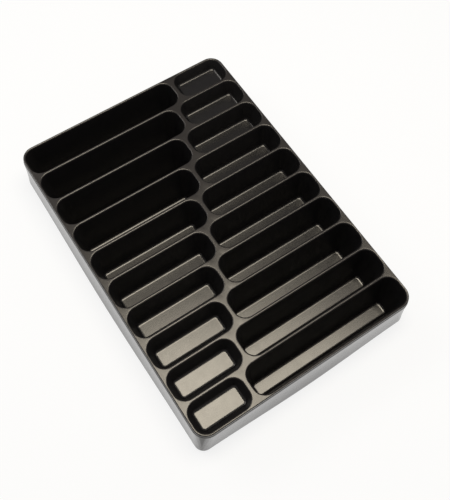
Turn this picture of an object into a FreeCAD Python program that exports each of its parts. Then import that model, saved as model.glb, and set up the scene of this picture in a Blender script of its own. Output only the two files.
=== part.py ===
"""Thermoformed plastic tray: twenty graded pockets drawn into one thin sheet.

Ten rows of pockets stand side by side along Y, two pockets to a row. From one short side to the
other the left-hand pockets grow longer and deeper while the right-hand ones shrink, so the spine
between them steps across the tray, and the whole has a two-fold turn about Z. A flared skirt
carries the flat top. Underneath, the sheet follows every pocket: the dividers are hollow ridges
and the skirt is open to the ground.

Skin is the outside of the sheet as a filled block. Underside is the air below the sheet: the
block of air inside the skirt, less the pockets and one sheet thickness around each. The tray is
what is left when Underside is cut from Skin.

Millimetres, +Z up, origin on the ground at the middle of the foot.
"""

import FreeCAD
import Part
import Sketcher

import math
import os

SIZES = (
    # alias, value, what it measures
    ("rim_length", 330.0, "flat top across the rows, along Y"),
    ("rim_width", 230.0, "flat top along the pockets, along X"),
    ("sheet_thickness", 1.0, "formed sheet"),
    ("row_count", 10, "rows of two pockets"),
    ("border_width", 2.5, "flat left between the outer pockets and the rim"),
    ("ridge_width", 2.8, "divider between two rows"),
    ("spine_width", 4.5, "divider between the two pockets of a row"),
    ("shortest_pocket", 55.0, "mouth length of the smallest pocket"),
    ("shallowest_pocket", 11.0, "depth of the smallest pocket"),
    ("depth_step", 5.2, "added depth from one size to the next"),
    ("deepest_pocket", 46.5, "depth at which the step stops"),
    ("pocket_corner_radius", 11.0, "plan radius of a pocket's mouth"),
    ("lead_in", 4.4, "how far a wall leans in over any depth"),
    ("wall_draft", 3.7, "further lean of a wall, degrees"),
    ("lip_bevel", 0.9, "eased edge between the top and a pocket wall"),
    ("floor_bevel", 2.0, "eased edge between a pocket wall and its floor"),
    ("shoulder_bevel", 0.8, "eased edge between the top and the skirt"),
    ("ground_clearance", 1.0, "air under the deepest floors"),
    ("skirt_flare", 3.6, "how far the foot stands out beyond the rim"),
)

LAYOUT = (
    # alias, formula on the sizes
    ("tray_height", "Sizes.deepest_pocket + Sizes.sheet_thickness + Sizes.ground_clearance"),
    ("half_length", "Sizes.rim_length / 2"),
    ("half_width", "Sizes.rim_width / 2"),
    ("rim_corner", "Sizes.pocket_corner_radius + Sizes.border_width"),
    (
        "pocket_width",
        "(Sizes.rim_length - 2 * Sizes.border_width - (Sizes.row_count - 1) * Sizes.ridge_width)"
        " / Sizes.row_count",
    ),
    (
        "length_step",
        "(Sizes.rim_width - 2 * Sizes.border_width - Sizes.spine_width"
        " - 2 * Sizes.shortest_pocket) / (Sizes.row_count - 1)",
    ),
    ("flare", "atan(Sizes.skirt_flare / tray_height)"),
    ("shoulder", "min(Sizes.shoulder_bevel; 0.45 * Sizes.border_width)"),
    ("shoulder_drop", "shoulder / (1 - tan(flare))"),
    ("lip", "min(Sizes.lip_bevel; 0.45 * Sizes.ridge_width; 0.5 * Sizes.border_width)"),
    (
        "toe",
        "min(Sizes.floor_bevel; 0.9 * (Sizes.pocket_corner_radius - Sizes.lead_in"
        " - Sizes.deepest_pocket * tan(Sizes.wall_draft)))",
    ),
)

POCKET = (
    # alias and formula of one pocket size, {step} sizes up from the smallest
    ("left_{step}", "-Layout.half_width + Sizes.border_width"),
    (
        "right_{step}",
        "left_{step} + Sizes.shortest_pocket + {step} * Layout.length_step",
    ),
    (
        "near_{step}",
        "-Layout.half_length + Sizes.border_width"
        " + {step} * (Layout.pocket_width + Sizes.ridge_width)",
    ),
    ("far_{step}", "near_{step} + Layout.pocket_width"),
    (
        "depth_{step}",
        "min(Sizes.deepest_pocket; Sizes.shallowest_pocket + {step} * Sizes.depth_step)",
    ),
    ("lean_{step}", "atan(Sizes.lead_in / depth_{step} + tan(Sizes.wall_draft))"),
    ("lip_{step}", "Layout.lip / (1 - tan(lean_{step}))"),
    ("wall_{step}", "depth_{step} - Layout.toe"),
    ("foot_{step}", "wall_{step} * tan(lean_{step})"),
)

RIM = ("-Layout.half_width", "Layout.half_width", "-Layout.half_length", "Layout.half_length")
SIDES = ("left", "right", "near", "far")
START, END = 1, 2
ORIGIN = (-1, 1)
UP = FreeCAD.Vector(0, 0, 1)
QUARTER = math.pi / 2


def add_sheet(name, rows):
    """Add a spreadsheet of (alias, text, note) rows."""
    sheet = doc.addObject("Spreadsheet::Sheet", name)
    for number, (alias, text, note) in enumerate(rows, start=1):
        sheet.set(f"A{number}", alias)
        sheet.set(f"B{number}", text)
        sheet.setAlias(f"B{number}", alias)
        sheet.set(f"C{number}", note)
    doc.recompute()


def read(sheet, *aliases):
    """Numbers in some cells of a sheet, angles in degrees."""
    cells = (getattr(doc, sheet).get(alias) for alias in aliases)
    return [float(getattr(cell, "Value", cell)) for cell in cells]


def origin_part(body, role):
    """The body's own origin plane or axis with this role."""
    return next(item for item in body.Origin.OriginFeatures if item.Role == role)


def drive(sketch, name, kind, *where, size):
    """Add a named constraint whose value is an expression."""
    value = float(sketch.evalExpression(size))
    index = sketch.addConstraint(Sketcher.Constraint(kind, *where, value))
    sketch.renameConstraint(index, name)
    sketch.setExpression(f"Constraints.{name}", size)


def rounded_rectangle(sketch, limits, radius):
    """Draw a rounded rectangle; limits are expressions for left, right, near and far."""
    left, right, near, far, bend = (
        float(sketch.evalExpression(text)) for text in (*limits, radius)
    )
    centres = (
        (right - bend, far - bend),
        (left + bend, far - bend),
        (left + bend, near + bend),
        (right - bend, near + bend),
    )
    arcs = []
    for turn, centre in enumerate(centres):
        circle = Part.Circle(FreeCAD.Vector(*centre), UP, bend)
        arc = Part.ArcOfCircle(circle, turn * QUARTER, (turn + 1) * QUARTER)
        arcs.append(sketch.addGeometry(arc, False))
    sides = []
    for arc, following in zip(arcs, arcs[1:] + arcs[:1]):
        line = Part.LineSegment(sketch.getPoint(arc, END), sketch.getPoint(following, START))
        side = sketch.addGeometry(line, False)
        sketch.addConstraint(Sketcher.Constraint("Tangent", arc, END, side, START))
        sketch.addConstraint(Sketcher.Constraint("Tangent", side, END, following, START))
        sides.append(side)
    for arc in arcs[1:]:
        sketch.addConstraint(Sketcher.Constraint("Equal", arcs[0], arc))
    drive(sketch, "radius", "Radius", arcs[0], size=radius)
    far_side, left_side, near_side, right_side = sides
    for side in (far_side, near_side):
        sketch.addConstraint(Sketcher.Constraint("Horizontal", side))
    for side in (left_side, right_side):
        sketch.addConstraint(Sketcher.Constraint("Vertical", side))
    drive(sketch, "left", "DistanceX", *ORIGIN, left_side, START, size=limits[0])
    drive(sketch, "right", "DistanceX", *ORIGIN, right_side, START, size=limits[1])
    drive(sketch, "near", "DistanceY", *ORIGIN, near_side, START, size=limits[2])
    drive(sketch, "far", "DistanceY", *ORIGIN, far_side, START, size=limits[3])


def add_stages(body, kind, limits, radius, stages):
    """Stack tapered pads or pockets downward inside or outside one plan outline.

    Each stage is (name, drop below the top, inset of its upper outline, height, lean), all but
    the name being expressions. Pads widen on the way down and pockets narrow.
    """
    left, right, near, far = limits
    features = []
    for name, drop, inset, height, lean in stages:
        outline = body.newObject("Sketcher::SketchObject", f"{name}Outline")
        outline.AttachmentSupport = [(origin_part(body, "XY_Plane"), "")]
        outline.MapMode = "FlatFace"
        outline.setExpression("AttachmentOffset.Base.z", f"Layout.tray_height - {drop}")
        rounded_rectangle(
            outline,
            (f"{left} + {inset}", f"{right} - ({inset})", f"{near} + {inset}", f"{far} - ({inset})"),
            f"{radius} - ({inset})",
        )
        feature = body.newObject(f"PartDesign::{kind}", name)
        feature.Profile = outline
        feature.setExpression("Length", height)
        if kind == "Pad":
            feature.Reversed = True
            feature.setExpression("TaperAngle", lean)
        else:
            feature.setExpression("TaperAngle", f"-{lean}")
        features.append(feature)
    doc.recompute()
    return features


def add_skirt(body):
    """Pad the filled block under the flat top."""
    drop = "Layout.shoulder_drop"
    height = f"Layout.tray_height - {drop}"
    stages = (
        ("Shoulder", "0", "Layout.shoulder", drop, "45"),
        ("Skirt", drop, f"-{drop} * tan(Layout.flare)", height, "Layout.flare"),
    )
    add_stages(body, "Pad", RIM, "Layout.rim_corner", stages)


def add_hollow(body):
    """Pad the block of air one sheet thickness inside the skirt."""
    drop = "Sizes.sheet_thickness"
    height = f"Layout.tray_height - {drop}"
    inset = f"{drop} / cos(Layout.flare) - {drop} * tan(Layout.flare)"
    stages = (("Hollow", drop, inset, height, "Layout.flare"),)
    add_stages(body, "Pad", RIM, "Layout.rim_corner", stages)


def sink_pockets(body):
    """Cut the pockets left of the spine; a half turn gives those right of it."""
    cuts = []
    for step in range(row_count):
        limits = [f"Pockets.{side}_{step}" for side in SIDES]
        wall = f"Pockets.wall_{step}"
        stages = (
            (f"Lip{step}", "0", "-Layout.lip", f"Pockets.lip_{step}", "45"),
            (f"Wall{step}", "0", "0", wall, f"Pockets.lean_{step}"),
            (f"Toe{step}", wall, f"Pockets.foot_{step}", "Layout.toe", "45"),
        )
        cuts += add_stages(body, "Pocket", limits, "Sizes.pocket_corner_radius", stages)
    pattern = body.newObject("PartDesign::PolarPattern", "HalfTurn")
    pattern.Originals = cuts
    pattern.Axis = (origin_part(body, "Z_Axis"), [""])
    pattern.Angle = 360
    pattern.Occurrences = 2
    body.Tip = pattern
    doc.recompute()


def clipped_outline(limits, inset, radius, level):
    """Corners of a rectangle whose corner flats touch the rounds of the same rectangle."""
    left, right, near, far = (
        limit + sign * inset for limit, sign in zip(limits, (1, -1, 1, -1))
    )
    clip = (radius - inset) * (2 - math.sqrt(2))
    plan = (
        (right - clip, far),
        (left + clip, far),
        (left, far - clip),
        (left, near + clip),
        (left + clip, near),
        (right - clip, near),
        (right, near + clip),
        (right, far - clip),
    )
    return [FreeCAD.Vector(x, y, level) for x, y in plan]


def flat_sided(upper, lower):
    """A solid with flat sides between two outlines that have the same number of corners."""
    faces = [Part.Face(Part.makePolygon(loop + loop[:1])) for loop in (upper, lower)]
    for corner, _ in enumerate(upper):
        above, below = upper[corner - 1], lower[corner - 1]
        side = Part.makePolygon([above, below, lower[corner], upper[corner], above])
        faces.append(Part.Face(side))
    return Part.Solid(Part.Shell(faces))


def pocket_shells():
    """Pockets with one sheet thickness around them, as solids that narrow downward.

    Their corners are flat, so the sheet is a little thicker there than along the walls. A tapered
    pad of such an outline would have spline sides, so these are made face by face.
    """
    sheet, radius = read("Sizes", "sheet_thickness", "pocket_corner_radius")
    (top,) = read("Layout", "tray_height")
    shells = []
    for step in range(row_count):
        limits = read("Pockets", *(f"{side}_{step}" for side in SIDES))
        depth, degrees = read("Pockets", f"depth_{step}", f"lean_{step}")
        lean = math.radians(degrees)
        inset = -sheet / math.cos(lean)
        height = depth + sheet
        upper = clipped_outline(limits, inset, radius, top)
        lower = clipped_outline(limits, inset + height * math.tan(lean), radius, top - height)
        shell = flat_sided(upper, lower)
        turned = shell.copy()
        turned.rotate(FreeCAD.Vector(), UP, 180)
        shells += [shell, turned]
    return Part.makeCompound(shells)


doc = FreeCAD.newDocument("FormedTray")
add_sheet("Sizes", [(alias, str(value), note) for alias, value, note in SIZES])
add_sheet("Layout", [(alias, f"={formula}", "") for alias, formula in LAYOUT])
row_count = int(doc.Sizes.get("row_count"))
add_sheet(
    "Pockets",
    [
        (alias.format(step=step), "=" + formula.format(step=step), "")
        for step in range(row_count)
        for alias, formula in POCKET
    ],
)

skin = doc.addObject("PartDesign::Body", "Skin")
add_skirt(skin)
sink_pockets(skin)

air = doc.addObject("PartDesign::Body", "Air")
add_hollow(air)
shells = doc.addObject("Part::Feature", "Shells")
shells.Shape = pocket_shells()
underside = doc.addObject("Part::Cut", "Underside")
underside.Base = air
underside.Tool = shells

tray = doc.addObject("Part::Cut", "Tray")
tray.Base = skin
tray.Tool = underside
tray.Label = "tray"
tray.Placement = FreeCAD.Placement()
doc.recompute()

failed = [item.Name for item in doc.Objects if {"Invalid", "Error"} & set(item.State)]
if failed:
    raise RuntimeError(f"objects that did not compute: {failed}")

os.makedirs("parts", exist_ok=True)
for part in (tray,):
    if part.Shape.isNull() or not part.Shape.isValid():
        raise RuntimeError(f"{part.Label} has no valid shape")
    part.Shape.exportStep(f"parts/{part.Label}.step")
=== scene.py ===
"""Thermoformed plastic tray, dressed for rendering: one glossy black sheet with graded pockets."""

import math

import bmesh
import bpy
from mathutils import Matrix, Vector


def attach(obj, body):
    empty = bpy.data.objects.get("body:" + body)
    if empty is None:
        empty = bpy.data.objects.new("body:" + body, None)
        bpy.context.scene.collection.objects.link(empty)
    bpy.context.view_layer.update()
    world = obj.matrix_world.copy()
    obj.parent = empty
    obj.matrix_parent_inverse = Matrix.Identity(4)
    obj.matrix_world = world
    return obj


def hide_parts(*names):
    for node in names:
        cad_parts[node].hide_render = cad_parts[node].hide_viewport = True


MM = 0.001

# The tray as a whole
RIM_LENGTH = 330 * MM
RIM_WIDTH = 230 * MM
TRAY_HEIGHT = 48.5 * MM
SHEET = 1.0 * MM
BORDER = 2.5 * MM
RIDGE = 2.8 * MM
SPINE = 4.5 * MM
ROWS = 10

# The pockets, which grow longer and deeper step by step
SHORTEST_POCKET = 55 * MM
SHALLOWEST_POCKET = 11 * MM
DEPTH_STEP = 5.2 * MM
DEEPEST_POCKET = 46.5 * MM
POCKET_WIDTH = (RIM_LENGTH - 2 * BORDER - (ROWS - 1) * RIDGE) / ROWS
LENGTH_STEP = (RIM_WIDTH - 2 * BORDER - SPINE - 2 * SHORTEST_POCKET) / (ROWS - 1)
POCKET_CORNER = 11 * MM
LEAD_IN = 4.4 * MM
WALL_DRAFT = math.radians(3.7)
LIP_ROUND = 1.5 * MM
FLOOR_ROUND = 3.3 * MM
FLOOR_EASE = 5 * MM
EASE_ANGLE = math.radians(14)
FLOOR_CORNER = 1.2 * MM

# The rim, from the flat top down to the ledge
SHOULDER_ROUND = 0.9 * MM
WALL_STANDS_OUT = 0.4 * MM
BAND_LEAN = 0.11 * MM
LEDGE_WIDTH = 0.55 * MM
LEDGE_TOP = 3.6 * MM
LEDGE_FOOT = 4.7 * MM

# The skirt, from the ledge down to the foot
RIM_CORNER = POCKET_CORNER + BORDER
FLARE_PARTS = (0.25, 0.45, 0.62, 0.76, 0.88, 1.0)
FOOT_CORNER = 9.5 * MM
FOOT_FLARE = 2.1 * MM
FOOT_BOW = 1.9 * MM
HEM_HEIGHT = 2.2 * MM
HEM_TUCK = 0.5 * MM
HEM_CORNER = 14 * MM
FOOT_TRIM = 0.5 * MM

# How finely each form is cut
CORNER_CUTS = 10
LIP_CUTS = 5
WALL_CUTS = 3
FLOOR_CUTS = 6
EASE_CUTS = 3
LEDGE_CUTS = 6
SIDE_CUTS = 15
SKIRT_CUTS = 1
LONG_EDGE = 100 * MM
SAME_LEVEL = 1e-6
SAME_PLACE = 1e-5
SMOOTH_ANGLE = math.radians(35)


# ---------------------------------------------------------------- modelling helpers


def deselect_all():
    """Leave nothing selected, so that the next operator sees only its own piece."""
    bpy.ops.object.select_all(action="DESELECT")


def make_active(piece):
    """Leave one piece selected and active."""
    deselect_all()
    piece.select_set(True)
    bpy.context.view_layer.objects.active = piece


def edit(piece, mode):
    """Open a piece in edit mode with the given kind of selection."""
    make_active(piece)
    bpy.ops.object.mode_set(mode="EDIT")
    bpy.ops.mesh.select_mode(type=mode)


def leave_edit():
    """Go back from edit mode to the pieces."""
    bpy.ops.object.mode_set(mode="OBJECT")


def select_where(piece, kind, test):
    """Select the verts, edges or faces of the open piece that pass a test."""
    mesh = bmesh.from_edit_mesh(piece.data)
    for group in (mesh.verts, mesh.edges, mesh.faces):
        for item in group:
            item.select = False
    for item in getattr(mesh, kind):
        if test(item):
            item.select_set(True)
    mesh.select_flush_mode()
    bmesh.update_edit_mesh(piece.data)


def settle(piece):
    """Write a piece's place, turn and scale into its mesh."""
    make_active(piece)
    bpy.ops.object.transform_apply(location=True, rotation=True, scale=True)


def rounded_plane(name, width, length, corner, level):
    """A flat rounded rectangle about the origin, from a plane whose corners are bevelled."""
    deselect_all()
    bpy.ops.mesh.primitive_plane_add(size=1, location=(0, 0, level))
    piece = bpy.context.object
    piece.name = name
    piece.scale = (width, length, 1)
    settle(piece)
    edit(piece, "VERT")
    bpy.ops.mesh.select_all(action="SELECT")
    bpy.ops.mesh.bevel(offset=corner, segments=CORNER_CUTS, affect="VERTICES")
    leave_edit()
    return piece


def inset_steps(piece, steps):
    """Inset the piece's face again and again, by (inward, downward) amounts."""
    edit(piece, "FACE")
    bpy.ops.mesh.select_all(action="SELECT")
    for inward, downward in steps:
        bpy.ops.mesh.inset(thickness=inward, depth=-downward, use_even_offset=True)
    leave_edit()


def drop_face(piece, level):
    """Delete the face that lies at a level, leaving its edges open."""
    edit(piece, "FACE")
    select_where(piece, "faces", lambda face: abs(face.calc_center_median().z - level) < SAME_LEVEL)
    bpy.ops.mesh.delete(type="ONLY_FACE")
    leave_edit()


def place(piece, x, y, turn=0.0):
    """Put a piece in its place in the tray."""
    piece.location = (x, y, 0)
    piece.rotation_euler = (0, 0, turn)
    settle(piece)


def copy_of(piece, name):
    """A copy of a piece with a mesh of its own."""
    twin = piece.copy()
    twin.data = piece.data.copy()
    twin.name = name
    bpy.context.collection.objects.link(twin)
    return twin


def join(pieces, name):
    """Join pieces into one."""
    make_active(pieces[0])
    for piece in pieces:
        piece.select_set(True)
    bpy.ops.object.join()
    joined = bpy.context.object
    joined.name = name
    return joined


def apply_modifier(piece, kind, **settings):
    """Finish a piece with a modifier and apply it."""
    make_active(piece)
    modifier = piece.modifiers.new(kind.title(), kind)
    for key, value in settings.items():
        setattr(modifier, key, value)
    bpy.ops.object.modifier_apply(modifier=modifier.name)


def bridge_levels(piece, low, high, cuts):
    """Join the open outlines at two levels with a wall."""
    edit(piece, "EDGE")
    select_where(
        piece,
        "edges",
        lambda edge: len(edge.link_faces) < 2
        and all(min(abs(v.co.z - low), abs(v.co.z - high)) < SAME_LEVEL for v in edge.verts),
    )
    bpy.ops.mesh.bridge_edge_loops(number_cuts=cuts)
    leave_edit()


def subdivide_sides(piece, level):
    """Cut the long straight edges of the outline at a level into equal lengths."""
    edit(piece, "EDGE")
    select_where(
        piece,
        "edges",
        lambda edge: edge.calc_length() > LONG_EDGE
        and all(abs(v.co.z - level) < SAME_LEVEL for v in edge.verts),
    )
    bpy.ops.mesh.subdivide(number_cuts=SIDE_CUTS)
    leave_edit()


# ---------------------------------------------------------------- the pockets


def steps_between(points):
    """The moves from each (inward, downward) point of a profile to the next."""
    return [(b[0] - a[0], b[1] - a[1]) for a, b in zip(points, points[1:])]


def lip_points(bend):
    """The profile of a lip that rolls off the flat top and turns down through a bend."""
    angles = [bend * cut / LIP_CUTS for cut in range(LIP_CUTS + 1)]
    return [(LIP_ROUND * math.sin(a), LIP_ROUND * (1 - math.cos(a))) for a in angles]


def hollow_moves(radius, start, end, cuts):
    """The (inward, downward) moves along a hollow round, from one angle of its radius to another."""
    angles = [start + (end - start) * cut / cuts for cut in range(cuts + 1)]
    return [
        (radius * (math.cos(a) - math.cos(b)), radius * (math.sin(b) - math.sin(a)))
        for a, b in zip(angles, angles[1:])
    ]


def pocket_length(step):
    """The length of a pocket's mouth."""
    return SHORTEST_POCKET + step * LENGTH_STEP


def make_pocket(step):
    """A pocket of one size about the origin, open at its mouth.

    A rounded lip rolls off the flat top, the drafted wall leans in and its corners tighten on
    the way down, and a hollow round eases out into the floor.
    """
    depth = min(DEEPEST_POCKET, SHALLOWEST_POCKET + step * DEPTH_STEP)
    length = pocket_length(step)
    slope = LEAD_IN / depth + math.tan(WALL_DRAFT)
    lean = math.atan(slope)
    bend = math.pi / 2 - lean

    lip = lip_points(bend)
    lip_reach = LIP_ROUND * math.tan(bend / 2)
    lip_foot = TRAY_HEIGHT - lip[-1][1]
    mouth = rounded_plane(
        f"pocket_{step}",
        length + 2 * lip_reach,
        POCKET_WIDTH + 2 * lip_reach,
        POCKET_CORNER + lip_reach,
        TRAY_HEIGHT,
    )
    inset_steps(mouth, steps_between(lip))
    drop_face(mouth, lip_foot)

    easing = math.pi / 2 - EASE_ANGLE
    hollow = hollow_moves(FLOOR_ROUND, lean, easing, FLOOR_CUTS)
    hollow += hollow_moves(FLOOR_EASE, easing, math.pi / 2, EASE_CUTS)
    wall_drop = depth - sum(downward for inward, downward in hollow)
    wall_inset = wall_drop * slope
    wall_foot = TRAY_HEIGHT - wall_drop
    cup = rounded_plane(
        f"cup_{step}",
        length - 2 * wall_inset,
        POCKET_WIDTH - 2 * wall_inset,
        FLOOR_CORNER + sum(inward for inward, downward in hollow),
        wall_foot,
    )
    inset_steps(cup, hollow)

    pocket = join([mouth, cup], f"pocket_{step}")
    bridge_levels(pocket, wall_foot, lip_foot, WALL_CUTS)
    return pocket


def pocket_centre(step):
    """Where the left-hand pocket of one size stands."""
    x = -RIM_WIDTH / 2 + BORDER + pocket_length(step) / 2
    y = -RIM_LENGTH / 2 + BORDER + POCKET_WIDTH / 2 + step * (POCKET_WIDTH + RIDGE)
    return x, y


def make_pockets():
    """Two ranks of pockets: the right one is the left one turned half round."""
    pockets = []
    for step in range(ROWS):
        left = make_pocket(step)
        right = copy_of(left, f"pocket_{step}_turned")
        x, y = pocket_centre(step)
        place(left, x, y)
        place(right, -x, -y, math.pi)
        pockets += [left, right]
    return pockets


# ---------------------------------------------------------------- the skirt


def make_rim():
    """The edge of the sheet between skirt and flat top: a fine ledge, a band and a round."""
    profile = [(0, LEDGE_FOOT)]
    for cut in range(1, LEDGE_CUTS + 1):
        part = cut / LEDGE_CUTS
        ease = part * part * (3 - 2 * part)
        profile.append((LEDGE_WIDTH * ease, LEDGE_FOOT + part * (LEDGE_TOP - LEDGE_FOOT)))
    profile.append((LEDGE_WIDTH + BAND_LEAN / 2, (LEDGE_TOP + SHOULDER_ROUND) / 2))
    for cut in range(LIP_CUTS + 1):
        angle = math.pi / 2 * cut / LIP_CUTS
        inward = LEDGE_WIDTH + BAND_LEAN + SHOULDER_ROUND * (1 - math.cos(angle))
        profile.append((inward, SHOULDER_ROUND * (1 - math.sin(angle))))
    level = TRAY_HEIGHT - LEDGE_FOOT
    rim = rounded_plane(
        "rim",
        RIM_WIDTH + 2 * WALL_STANDS_OUT,
        RIM_LENGTH + 2 * WALL_STANDS_OUT,
        RIM_CORNER + WALL_STANDS_OUT,
        level,
    )
    inset_steps(rim, steps_between(profile))
    drop_face(rim, TRAY_HEIGHT)
    subdivide_sides(rim, level)
    return rim, level


def bowed_outline(name, flare, bow, corner, level):
    """An outline outside the rim's by the flare, whose sides bow out between the corners."""
    half_width = RIM_WIDTH / 2 + flare
    half_length = RIM_LENGTH / 2 + flare
    outline = rounded_plane(name, 2 * half_width, 2 * half_length, corner, level)
    drop_face(outline, level)
    subdivide_sides(outline, level)
    edit(outline, "VERT")
    sides = (
        ((half_width, 0), half_length),
        ((-half_width, 0), half_length),
        ((0, half_length), half_width),
        ((0, -half_length), half_width),
    )
    for (x, y), half in sides:
        middle = Vector((x, y, level))
        select_where(outline, "verts", lambda vertex: (vertex.co - middle).length < SAME_PLACE)
        bpy.ops.transform.translate(
            value=Vector((x, y, 0)).normalized() * bow,
            use_proportional_edit=True,
            use_proportional_connected=True,
            proportional_edit_falloff="SMOOTH",
            proportional_size=half,
        )
    leave_edit()
    return outline


def make_skirt():
    """The rim and the wall below it, which flares more and more towards the foot."""
    rim, rim_level = make_rim()
    outlines = [rim]
    levels = [rim_level]
    for part in FLARE_PARTS:
        level = rim_level + part * (HEM_HEIGHT - rim_level)
        flare = WALL_STANDS_OUT + part**2 * (FOOT_FLARE - WALL_STANDS_OUT)
        corner = RIM_CORNER + part * (FOOT_CORNER - RIM_CORNER)
        outlines.append(bowed_outline("waist", flare, part**2 * FOOT_BOW, corner, level))
        levels.append(level)
    outlines.append(bowed_outline("hem", FOOT_FLARE - HEM_TUCK, FOOT_BOW, HEM_CORNER, 0))
    levels.append(0)
    skirt = join(outlines, "skirt")
    for high, low in zip(levels, levels[1:]):
        bridge_levels(skirt, low, high, SKIRT_CUTS)
    return skirt


# ---------------------------------------------------------------- the sheet


def fill_top(tray):
    """Fill the flat top between the rim and the mouths of the pockets."""
    edit(tray, "EDGE")
    select_where(
        tray,
        "edges",
        lambda edge: edge.is_boundary
        and all(v.co.z > TRAY_HEIGHT - SAME_LEVEL for v in edge.verts),
    )
    bpy.ops.mesh.fill(use_beauty=True)
    bpy.ops.mesh.select_all(action="SELECT")
    bpy.ops.mesh.normals_make_consistent(inside=False)
    leave_edit()


def thicken(tray):
    """Give the sheet its thickness behind the face that shows."""
    apply_modifier(
        tray,
        "SOLIDIFY",
        thickness=SHEET,
        offset=-1,
        use_even_offset=True,
        use_quality_normals=True,
        use_rim=True,
    )


def trim_foot(tray):
    """Trim the lower edge of the sheet flat, so that the tray stands on it."""
    edit(tray, "VERT")
    select_where(tray, "verts", lambda vertex: vertex.co.z < FOOT_TRIM)
    bpy.ops.transform.resize(value=(1, 1, 0), center_override=(0, 0, 0))
    leave_edit()


def make_tray():
    """The whole formed sheet in one piece, in the CAD node's place."""
    tray = join([make_skirt()] + make_pockets(), "tray_sheet")
    fill_top(tray)
    thicken(tray)
    trim_foot(tray)
    bpy.ops.object.shade_smooth_by_angle(angle=SMOOTH_ANGLE)
    apply_modifier(tray, "WEIGHTED_NORMAL", keep_sharp=True, weight=50)
    tray.data.materials.clear()
    tray.data.materials.append(black_sheet())
    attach(tray, "root")
    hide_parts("tray")


# ---------------------------------------------------------------- materials


class Value:
    """A node socket that takes part in ordinary arithmetic."""

    def __init__(self, finish, socket):
        self.finish = finish
        self.socket = socket

    def math(self, operation, *others):
        """A Math node on this value and the others that the operation takes."""
        sockets = dict(enumerate((self, *others)))
        return self.finish.node("ShaderNodeMath", {"operation": operation}, sockets)

    def __add__(self, other):
        return self.math("ADD", other)

    def __sub__(self, other):
        return self.math("SUBTRACT", other)

    def __rsub__(self, other):
        return self.finish.node("ShaderNodeMath", {"operation": "SUBTRACT"}, {0: other, 1: self})

    def __mul__(self, other):
        return self.math("MULTIPLY", other)

    __radd__ = __add__
    __rmul__ = __mul__

    def between(self, low, high):
        """0 below low, 1 above high and a straight ramp between."""
        sockets = {"Value": self, "From Min": low, "From Max": high}
        return self.finish.node("ShaderNodeMapRange", {"clamp": True}, sockets)


class Finish:
    """A material and the nodes that feed its shader."""

    def __init__(self, name):
        self.material = bpy.data.materials.new(name)
        self.material.use_nodes = True
        self.tree = self.material.node_tree
        self.shader = self.tree.nodes["Principled BSDF"]
        self.output = self.tree.nodes["Material Output"]

    def node(self, kind, settings, sockets, result=0):
        """Add a node: its settings first, then the values or links of its sockets."""
        node = self.tree.nodes.new(kind)
        for key, value in settings.items():
            setattr(node, key, value)
        for key, value in sockets.items():
            self.feed(node.inputs[key], value)
        return Value(self, node.outputs[result])

    def feed(self, socket, value):
        """Link a value to a socket, or write a constant on it."""
        if isinstance(value, Value):
            self.tree.links.new(value.socket, socket)
        else:
            socket.default_value = value

    def set(self, **sockets):
        """Set or link the shader's own sockets, spaces in their names written as underscores."""
        for key, value in sockets.items():
            self.feed(self.shader.inputs[key.replace("_", " ")], value)

    def coordinate(self, kind, axis):
        """One axis of the piece's own Object place or Normal."""
        vector = self.node("ShaderNodeTexCoord", {}, {}, result=kind)
        return self.node("ShaderNodeSeparateXYZ", {}, {0: vector}, result=axis)

    def noise(self, scale, detail):
        """Soft noise that repeats about so many times a metre."""
        spot = self.node("ShaderNodeTexCoord", {}, {}, result="Object")
        sockets = {"Vector": spot, "Scale": scale, "Detail": detail}
        return self.node("ShaderNodeTexNoise", {}, sockets)

    def mix(self, factor, first, second):
        """A colour between two colours, on the Mix node's sockets for colours."""
        sockets = {0: factor, 6: first, 7: second}
        return self.node("ShaderNodeMix", {"data_type": "RGBA"}, sockets, result=2)


def black_sheet():
    """Glossy black formed sheet.

    Faint waves are left from forming. The drawn walls of the pockets are duller than the floors,
    the flat top has a painted sheen, a lighter colour that stands in for its brighter reflection,
    and it is a little rougher; the skirt has an extra polish.
    """
    finish = Finish("black_formed_sheet")
    waves = finish.noise(35, 1)
    patches = finish.noise(130, 2)
    bump = finish.node(
        "ShaderNodeBump",
        {},
        {"Height": waves * 0.5 + patches * 0.04, "Strength": 0.1, "Distance": 0.6 * MM},
    )

    across = finish.coordinate("Object", "X").math("ABSOLUTE")
    along = finish.coordinate("Object", "Y").math("ABSOLUTE")
    level = finish.coordinate("Object", "Z")
    upward = finish.coordinate("Normal", "Z").math("ABSOLUTE")
    past_rim = (across - RIM_WIDTH / 2).math("MAXIMUM", along - RIM_LENGTH / 2)
    polished = past_rim.between(-0.6 * MM, 0.1 * MM)
    inside = 1 - past_rim.between(-2.4 * MM, -1.2 * MM)
    drawn = inside * (1 - upward.between(0.35, 0.85))
    # painted sheen: the flat top is painted lighter, standing in for its brighter reflection, and
    # made a little rougher
    top_sheen = level.between(TRAY_HEIGHT - 0.8 * MM, TRAY_HEIGHT - 0.1 * MM)

    moulded = finish.mix(
        patches.between(0.35, 0.7), (0.0022, 0.0022, 0.0032, 1), (0.0034, 0.0033, 0.0040, 1)
    )
    # the painted sheen colour of the flat top
    top_sheen_colour = (0.0120, 0.0100, 0.0095, 1)
    finish.set(
        Base_Color=finish.mix(top_sheen, moulded, top_sheen_colour),
        Roughness=0.23 + patches.between(0.3, 0.75) * 0.03 + top_sheen * 0.07 + drawn * 0.2,
        Normal=bump,
        IOR=1.6,
        Specular_Tint=(1.0, 0.95, 0.88, 1),
        Coat_Weight=polished * 0.3,
        Coat_Roughness=0.12,
        Coat_IOR=1.6,
    )
    return finish.material


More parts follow.
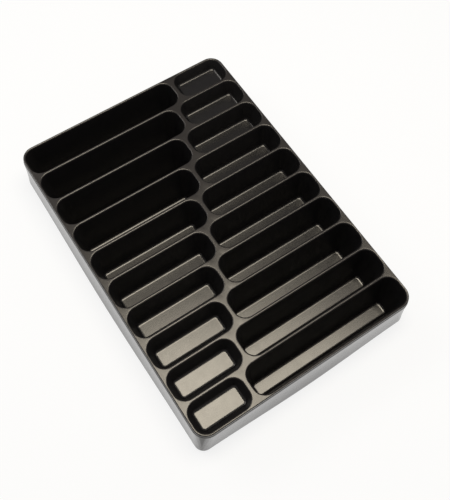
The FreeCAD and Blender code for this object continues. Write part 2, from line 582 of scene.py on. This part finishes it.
def pale_floor():
    """A plain floor that shows nearly white, with the tray's soft shadow still on it."""
    finish = Finish("pale_floor")
    finish.set(Base_Color=(0.95, 0.95, 0.95, 1), Roughness=0.9, Specular_IOR_Level=0.0)
    lit = Value(finish, finish.shader.outputs["BSDF"])
    glow = finish.node("ShaderNodeEmission", {}, {"Color": (1, 1, 1, 1), "Strength": 1})
    camera, glossy, through = (
        finish.node("ShaderNodeLightPath", {}, {}, result=kind)
        for kind in ("Is Camera Ray", "Is Glossy Ray", "Is Transmission Ray")
    )
    seen = (camera + glossy + through).math("MINIMUM", 1)
    surface = finish.node("ShaderNodeMixShader", {}, {0: seen * 0.8, 1: lit, 2: glow})
    finish.feed(finish.output.inputs["Surface"], surface)
    return finish.material


# ---------------------------------------------------------------- floor, light and camera


def make_floor():
    """A floor that reaches far past the tray on every side."""
    deselect_all()
    bpy.ops.mesh.primitive_plane_add(size=40, location=(0, 0, 0))
    floor = bpy.context.object
    floor.name = "floor"
    floor.data.materials.append(pale_floor())


def add_lamp(name, shape, power, size, location, target, colour=(1, 1, 1)):
    """A soft lamp turned to a target, with its power in watts and its size in metres."""
    deselect_all()
    bpy.ops.object.light_add(type="AREA", location=location)
    lamp = bpy.context.object
    lamp.name = name
    lamp.data.shape = shape
    lamp.data.size, lamp.data.size_y = size
    lamp.data.energy = power
    lamp.data.color = colour
    direction = Vector(target) - Vector(location)
    lamp.rotation_euler = direction.to_track_quat("-Z", "Y").to_euler()
    return lamp


def light_studio():
    """A warm soft box and a key lamp overhead, a strip behind and a dim surround."""
    world = bpy.data.worlds.new("studio")
    bpy.context.scene.world = world
    world.use_nodes = True
    surround = world.node_tree.nodes["Background"]
    surround.inputs["Color"].default_value = (1.0, 0.98, 1.0, 1)
    surround.inputs["Strength"].default_value = 0.28
    warm = (1.0, 0.95, 0.83)
    over = add_lamp("soft_box", "ELLIPSE", 9.0, (0.86, 0.48), (0.165, 0, 1.2), (0.165, 0, 0), warm)
    over.rotation_euler.z = math.radians(-28.7)
    add_lamp("key_box", "ELLIPSE", 1.2, (0.36, 0.36), (-0.06, 0.1, 1.19), (-0.06, 0.1, 0), warm)
    add_lamp("back_strip", "RECTANGLE", 4.0, (0.9, 0.35), (-0.55, 0.95, 1.0), (-0.1, 0, 0))


def add_camera():
    """A camera over the near left corner, looking down across the tray."""
    deselect_all()
    bpy.ops.object.camera_add(
        location=(-0.1582, -0.2373, 0.6200),
        rotation=(math.radians(24.291), math.radians(-1.573), math.radians(-33.588)),
    )
    camera = bpy.context.object
    camera.data.sensor_fit = "HORIZONTAL"
    camera.data.sensor_width = 36
    camera.data.lens = 54.37
    bpy.context.scene.camera = camera


# ---------------------------------------------------------------- the scene

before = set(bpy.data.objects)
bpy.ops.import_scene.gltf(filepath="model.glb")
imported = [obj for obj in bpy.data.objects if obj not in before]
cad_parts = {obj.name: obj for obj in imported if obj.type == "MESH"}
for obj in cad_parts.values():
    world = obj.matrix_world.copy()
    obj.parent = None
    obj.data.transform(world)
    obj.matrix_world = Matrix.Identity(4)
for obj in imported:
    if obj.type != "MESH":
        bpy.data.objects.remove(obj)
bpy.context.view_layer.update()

make_tray()
make_floor()
light_studio()
add_camera()
bpy.context.scene.view_settings.view_transform = "Standard"
